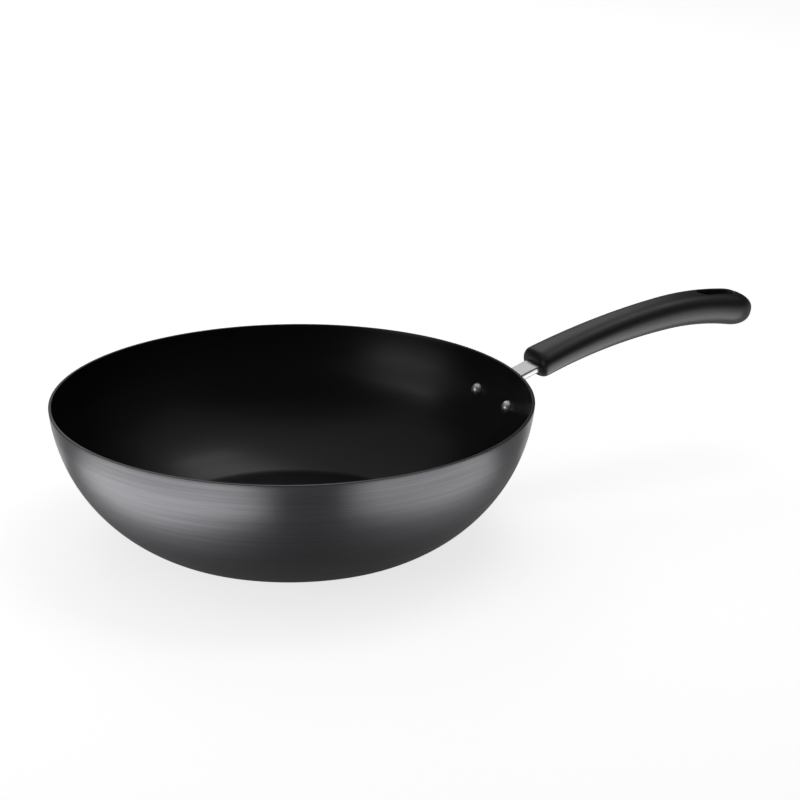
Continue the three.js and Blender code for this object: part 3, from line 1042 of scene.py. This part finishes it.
def push_cross(shape):
    """Cut the dome along the sides of a cross, then push the cross up into the head."""
    for normal in (Vector((1, 0, 0)), Vector((0, 1, 0))):
        for reach in (CROSS_HALF_WIDTH, -CROSS_HALF_WIDTH, CROSS_HALF_LENGTH, -CROSS_HALF_LENGTH):
            dome = dome_faces(shape)
            around = {item for face in dome for item in (*face.verts, *face.edges)}
            bmesh.ops.bisect_plane(
                shape, geom=dome + list(around), dist=CUT_SLACK, plane_co=reach * normal, plane_no=normal
            )
    cross = []
    for face in dome_faces(shape):
        place = face.calc_center_median()
        near, far = sorted((abs(place.x), abs(place.y)))
        if near < CROSS_HALF_WIDTH and far < CROSS_HALF_LENGTH:
            cross.append(face)
    pushed = bmesh.ops.extrude_face_region(shape, geom=cross)["geom"]
    bmesh.ops.translate(shape, verts=only_verts(pushed), vec=(0, 0, CROSS_DEPTH))
    bmesh.ops.delete(shape, geom=cross, context="FACES")
    bmesh.ops.recalc_face_normals(shape, faces=shape.faces)


def screw_shape():
    end = NECK_TOP - SEAT_GAP
    shape = bmesh.new()
    tip = shape.verts.new((0, 0, end))
    tip = line_to(shape, tip, SCREW_RADIUS / 2, end)
    tip = line_to(shape, tip, SCREW_RADIUS, end - SCREW_RADIUS / 2)
    tip = line_to(shape, tip, SCREW_RADIUS, SCREW_HEAD_TOP)
    tip = line_to(shape, tip, SCREW_HEAD_RADIUS, SCREW_HEAD_TOP)
    tip = line_to(shape, tip, SCREW_HEAD_RADIUS, SCREW_HEAD_TOP - SCREW_HEAD_HEIGHT / 2)
    sphere, half_angle = dome_sphere(SCREW_HEAD_RADIUS, SCREW_HEAD_HEIGHT / 2)
    arc_about(shape, tip, (0, 0, SCREW_HEAD_TOP - SCREW_HEAD_HEIGHT + sphere), -half_angle, DOME_STEPS)
    turn_profile(shape, SCREW_STEPS)
    push_cross(shape)
    shape.transform(SCREW_FRAME)
    return shape


make_piece("grip_screw", screw_shape(), "handle_screw", [FASTENER])


# %% Washer mesh
def washer_shape():
    shape = bmesh.new()
    inner = SCREW_RADIUS + SEAT_GAP
    low = WASHER_TOP - WASHER_THICKNESS
    corners = [(inner, low), (WASHER_RADIUS, low), (WASHER_RADIUS, WASHER_TOP), (inner, WASHER_TOP)]
    verts = [shape.verts.new((x, 0, z)) for x, z in corners]
    shape.faces.new(verts)
    start = Matrix.Rotation(WASHER_SPLIT / 2, 4, "Z")
    bmesh.ops.transform(shape, matrix=start, verts=shape.verts)
    bmesh.ops.spin(
        shape, geom=list(shape.faces), cent=(0, 0, 0), axis=(0, 0, 1),
        angle=2 * math.pi - WASHER_SPLIT, steps=SCREW_STEPS,
    )
    bmesh.ops.recalc_face_normals(shape, faces=shape.faces)
    shape.transform(SCREW_FRAME)
    return shape


make_piece("spring_washer", washer_shape(), "lock_washer", [FASTENER])

# %% [markdown]
# ## Floor, light and background
# Dark metal shows little but what it mirrors, so most of the lamps are there to be mirrored. Panels lie on
# the floor to the left and right and behind, and each leaves a soft patch on the bowl, because its side
# leans out and looks down at them. The gap between the two front panels leaves the dark band. Another panel
# does the same for the grip and a small one for the neck. All but the left panel are linked to one piece,
# so that they don't light the others. A wide dim lamp overhead and three softboxes light the rest at a
# plain level. The floor is white to the camera, and mirrors see it dimmer, so that the dark band stays
# dark. The world is white to the camera too and gives little light.

# %% Floor
FLOOR_HALF = 6.0
FLOOR_TONE = (0.86, 0.86, 0.86, 1)
FLOOR_SEEN = 0.76
FLOOR_MIRRORED = 0.15
WHITE = (1, 1, 1, 1)


def floor_finish():
    """Pale, with a glow for the camera and a weaker one for mirrors, and clear from below."""
    finish, tree, shader = start_finish(
        "white_floor", Base_Color=FLOOR_TONE, Roughness=0.8, Specular_IOR_Level=0.1, Emission_Color=WHITE
    )
    seen = add_node(tree, "ShaderNodeLightPath").outputs
    mirrored = add_math(tree, "MAXIMUM", seen["Is Glossy Ray"], seen["Is Transmission Ray"])
    weak_glow = add_math(tree, "MULTIPLY", mirrored, FLOOR_MIRRORED)
    glow = add_math(tree, "MULTIPLY", seen["Is Camera Ray"], FLOOR_SEEN)
    tree.links.new(add_math(tree, "MAXIMUM", weak_glow, glow), shader.inputs["Emission Strength"])
    below = add_node(tree, "ShaderNodeNewGeometry").outputs["Backfacing"]
    clear = add_node(tree, "ShaderNodeBsdfTransparent")
    mix = add_node(tree, "ShaderNodeMixShader", sockets={0: below, 1: shader.outputs[0], 2: clear.outputs[0]})
    tree.links.new(mix.outputs[0], tree.nodes["Material Output"].inputs["Surface"])
    return finish


floor_mesh = bpy.data.meshes.new("floor")
ground = bmesh.new()
bmesh.ops.create_grid(ground, x_segments=2, y_segments=2, size=FLOOR_HALF)
ground.to_mesh(floor_mesh)
ground.free()
floor_mesh.materials.append(floor_finish())
floor = bpy.data.objects.new("floor", floor_mesh)
scene.collection.objects.link(floor)
print("floor", 2 * FLOOR_HALF, "m wide")

# %% Lamp helpers
BOWL_MIDDLE = Vector((0, 0, BOWL_DEPTH / 2))
PANEL_HEIGHT = 2 * MM
PANEL_LENGTH = 0.16


def toward(azimuth, elevation, distance):
    """A place seen from the bowl's foot, at an azimuth from the camera round to its right, in degrees."""
    turn = PHOTO_AZIMUTH + math.radians(azimuth)
    rise = math.radians(elevation)
    flat = Vector((math.sin(turn), -math.cos(turn), 0)) * math.cos(rise)
    return (flat + Vector((0, 0, math.sin(rise)))) * distance


def add_lamp(name, place, rotation, width, length, radiance):
    """A soft rectangular lamp, with its brightness given as it looks from the bowl."""
    data = bpy.data.lights.new(name, "AREA")
    data.shape = "RECTANGLE"
    data.size = width
    data.size_y = length
    data.energy = radiance * math.pi * width * length
    lamp = bpy.data.objects.new(name, data)
    lamp.location = place
    lamp.rotation_mode = "QUATERNION"
    lamp.rotation_quaternion = rotation
    lamp.visible_camera = False
    scene.collection.objects.link(lamp)
    print(name, "gives", round(data.energy, 1), "W")
    return lamp


def floor_panel(name, azimuth, distance, width, radiance, length=PANEL_LENGTH, only=None):
    """A lamp that lies on the floor and faces up. It lights one piece only, where one is given."""
    place = toward(azimuth, 0, distance) + Vector((0, 0, PANEL_HEIGHT))
    turn = Matrix.Rotation(PHOTO_AZIMUTH + math.radians(azimuth), 4, "Z")
    face_up = Matrix.Rotation(math.pi, 4, "X")
    lamp = add_lamp(name, place, (turn @ face_up).to_quaternion(), width, length, radiance)
    if only is not None:
        reached = bpy.data.collections.new(name + "_reach")
        reached.objects.link(only)
        lamp.light_linking.receiver_collection = reached


def softbox(name, azimuth, elevation, distance, width, length, radiance):
    """A lamp that stands off and looks at the middle of the bowl."""
    place = toward(azimuth, elevation, distance)
    aim = (BOWL_MIDDLE - place).to_track_quat("-Z", "Y")
    add_lamp(name, place, aim, width, length, radiance)


print("lamp helpers ready")

# %% Panels to be mirrored
floor_panel("left_panel", azimuth=-47, distance=0.25, width=0.335, radiance=3.7)
floor_panel("right_panel", azimuth=53, distance=0.272, width=0.275, radiance=2.9, only=shell)
floor_panel("back_left_panel", azimuth=-140, distance=0.25, width=0.24, radiance=1.1, only=shell)
floor_panel("back_right_panel", azimuth=143, distance=0.26, width=0.22, radiance=1.1, only=shell)
floor_panel("handle_panel", azimuth=92, distance=0.38, width=0.22, length=0.36, radiance=2.8, only=grip)
floor_panel("neck_panel", azimuth=82, distance=0.37, width=0.16, radiance=2.4, only=bracket)

# %% Overhead lamp and softboxes
SKY_BACK = 0.35
SKY_HEIGHT = 1.6
SKY_SPREAD = math.radians(138)
sky_place = toward(180, 0, SKY_BACK) + Vector((0, 0, SKY_HEIGHT))
sky_turn = Matrix.Rotation(PHOTO_AZIMUTH + math.pi, 4, "Z").to_quaternion()
sky = add_lamp("sky_softbox", sky_place, sky_turn, width=5.0, length=2.0, radiance=0.17)
sky.data.spread = SKY_SPREAD
softbox("key_softbox", azimuth=140, elevation=64, distance=2.0, width=1.0, length=0.8, radiance=1.15)
softbox("front_softbox", azimuth=-62, elevation=14, distance=1.4, width=1.0, length=0.8, radiance=1.0)
softbox("back_softbox", azimuth=-168, elevation=35, distance=2.0, width=1.2, length=1.0, radiance=1.0)

# %% World
WORLD_LEVEL = 0.05
world = bpy.data.worlds.new("studio")
world.use_nodes = True
scene.world = world
background = world.node_tree.nodes["Background"]
background.inputs["Color"].default_value = WHITE
seen = add_node(world.node_tree, "ShaderNodeLightPath")
level = add_math(world.node_tree, "MAXIMUM", seen.outputs["Is Camera Ray"], WORLD_LEVEL)
world.node_tree.links.new(level, background.inputs["Strength"])
print("world level", WORLD_LEVEL)
